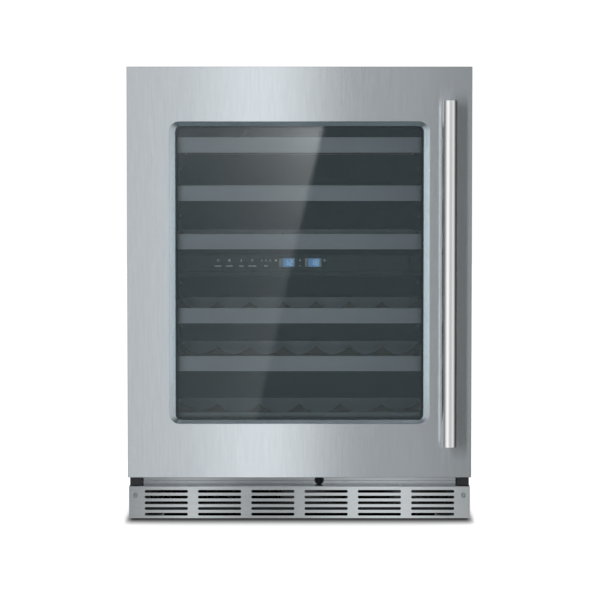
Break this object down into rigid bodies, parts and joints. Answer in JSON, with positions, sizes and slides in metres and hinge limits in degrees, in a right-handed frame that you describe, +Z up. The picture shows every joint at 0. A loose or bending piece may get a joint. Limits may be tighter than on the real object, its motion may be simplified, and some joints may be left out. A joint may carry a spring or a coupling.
{
  "type": "undercounter wine cooler",
  "caption": "Undercounter wine cooler with a framed glass door, bar handle, slide-out bottle shelves, two cooling zones with a touch panel, and a slotted toe grille.",
  "frame": {"origin": "centre of the bounding box on the floor", "axes": "+Z up, door faces -Y, +X to the right seen from the front"},
  "size_m": [0.606, 0.6652, 0.8],
  "materials": {
    "brushed_steel": "satin",
    "polished_steel": "polished",
    "shelf_steel": "satin",
    "shelf_wood": "satin",
    "cabinet_paint": "satin",
    "galvanised_steel": "matte",
    "black_steel": "satin",
    "liner_plastic": "satin",
    "black_plastic": "matte",
    "fascia_gloss": "gloss",
    "smoked_glass": "polished",
    "gasket_rubber": "matte",
    "foam": "matte",
    "aluminium": "satin",
    "diffuser": "satin"
  },
  "bodies": {
    "cabinet": {"front_rail": "brushed_steel", "toe_grille": "brushed_steel", "kick_screw_left": "polished_steel", "kick_screw_right": "polished_steel", "left_side_panel": "cabinet_paint", "right_side_panel": "cabinet_paint", "top_panel": "cabinet_paint", "back_panel": "galvanised_steel", "rear_vent_cover": "black_steel", "top_hinge_plate": "black_steel", "bottom_hinge_bracket": "black_steel", "compressor": "black_steel", "condenser": "black_steel", "base_pan": "black_steel", "liner": "liner_plastic", "upper_duct_cover": "liner_plastic", "lower_duct_cover": "liner_plastic", "upper_rails_left": "liner_plastic", "upper_rails_right": "liner_plastic", "lower_rails_left": "liner_plastic", "lower_rails_right": "liner_plastic", "zone_divider": "black_plastic", "hinge_blank_cover": "black_plastic", "drip_tray": "black_plastic", "power_inlet": "black_plastic", "control_fascia": "fascia_gloss", "insulation_foam": "foam", "upper_evaporator": "aluminium", "lower_evaporator": "aluminium", "upper_light": "diffuser"},
    "door": {"door_skin": "brushed_steel", "door_foam": "foam", "door_inner_frame": "liner_plastic", "outer_glass": "smoked_glass", "glass_spacer": "black_plastic", "inner_glass": "smoked_glass", "door_gasket": "gasket_rubber", "handle_bar": "polished_steel", "handle_post_upper": "polished_steel", "handle_post_lower": "polished_steel"},
    "shelf_1": {"shelf_1_frame": "shelf_steel", "shelf_1_cradle": "shelf_wood"},
    "shelf_2": {"shelf_2_frame": "shelf_steel", "shelf_2_cradle": "shelf_wood"},
    "shelf_3": {"shelf_3_frame": "shelf_steel", "shelf_3_cradle": "shelf_wood"},
    "shelf_4": {"shelf_4_frame": "shelf_steel", "shelf_4_cradle": "shelf_wood"},
    "shelf_5": {"shelf_5_frame": "shelf_steel", "shelf_5_cradle": "shelf_wood"},
    "shelf_6": {"shelf_6_frame": "shelf_steel", "shelf_6_cradle": "shelf_wood"},
    "upper_fan_rotor": {"upper_fan": "black_plastic"},
    "lower_fan_rotor": {"lower_fan": "black_plastic"},
    "condenser_fan_rotor": {"condenser_fan": "black_plastic"},
    "lock": {"lock_barrel": "polished_steel"},
    "front_left_leg": {"leg_front_left": "black_plastic"},
    "front_right_leg": {"leg_front_right": "black_plastic"},
    "rear_left_leg": {"leg_rear_left": "black_plastic"},
    "rear_right_leg": {"leg_rear_right": "black_plastic"}
  },
  "joints": [
    {"name": "door_hinge", "type": "hinge", "parent": "cabinet", "child": "door", "pos_m": [-0.287, -0.24538, 0.43], "axis": [0, 0, -1], "range_deg": [0, 110]},
    {"name": "shelf_1_slide", "type": "slide", "parent": "cabinet", "child": "shelf_1", "axis": [0, -1, 0], "range_m": [0, 0.033]},
    {"name": "shelf_2_slide", "type": "slide", "parent": "cabinet", "child": "shelf_2", "axis": [0, -1, 0], "range_m": [0, 0.033]},
    {"name": "shelf_3_slide", "type": "slide", "parent": "cabinet", "child": "shelf_3", "axis": [0, -1, 0], "range_m": [0, 0.033]},
    {"name": "shelf_4_slide", "type": "slide", "parent": "cabinet", "child": "shelf_4", "axis": [0, -1, 0], "range_m": [0, 0.033]},
    {"name": "shelf_5_slide", "type": "slide", "parent": "cabinet", "child": "shelf_5", "axis": [0, -1, 0], "range_m": [0, 0.033]},
    {"name": "shelf_6_slide", "type": "slide", "parent": "cabinet", "child": "shelf_6", "axis": [0, -1, 0], "range_m": [0, 0.033]},
    {"name": "upper_fan_spin", "type": "hinge", "parent": "cabinet", "child": "upper_fan_rotor", "pos_m": [0, 0.26763, 0.596], "axis": [0, 1, 0], "continuous": true},
    {"name": "lower_fan_spin", "type": "hinge", "parent": "cabinet", "child": "lower_fan_rotor", "pos_m": [0, 0.26763, 0.34], "axis": [0, 1, 0], "continuous": true},
    {"name": "condenser_fan_spin", "type": "hinge", "parent": "cabinet", "child": "condenser_fan_rotor", "pos_m": [-0.14, 0.03963, 0.054], "axis": [0, 1, 0], "continuous": true},
    {"name": "lock_turn", "type": "hinge", "parent": "cabinet", "child": "lock", "pos_m": [0.035, -0.22337, 0.0692], "axis": [0, 1, 0], "range_deg": [0, 90]},
    {"name": "front_left_leg_turn", "type": "hinge", "parent": "cabinet", "child": "front_left_leg", "pos_m": [-0.262, -0.18338, 0.006], "axis": [0, 0, 1], "continuous": true},
    {"name": "front_right_leg_turn", "type": "hinge", "parent": "cabinet", "child": "front_right_leg", "pos_m": [0.262, -0.18338, 0.006], "axis": [0, 0, 1], "continuous": true},
    {"name": "rear_left_leg_turn", "type": "hinge", "parent": "cabinet", "child": "rear_left_leg", "pos_m": [-0.262, 0.30162, 0.006], "axis": [0, 0, 1], "continuous": true},
    {"name": "rear_right_leg_turn", "type": "hinge", "parent": "cabinet", "child": "rear_right_leg", "pos_m": [0.262, 0.30162, 0.006], "axis": [0, 0, 1], "continuous": true}
  ]
}
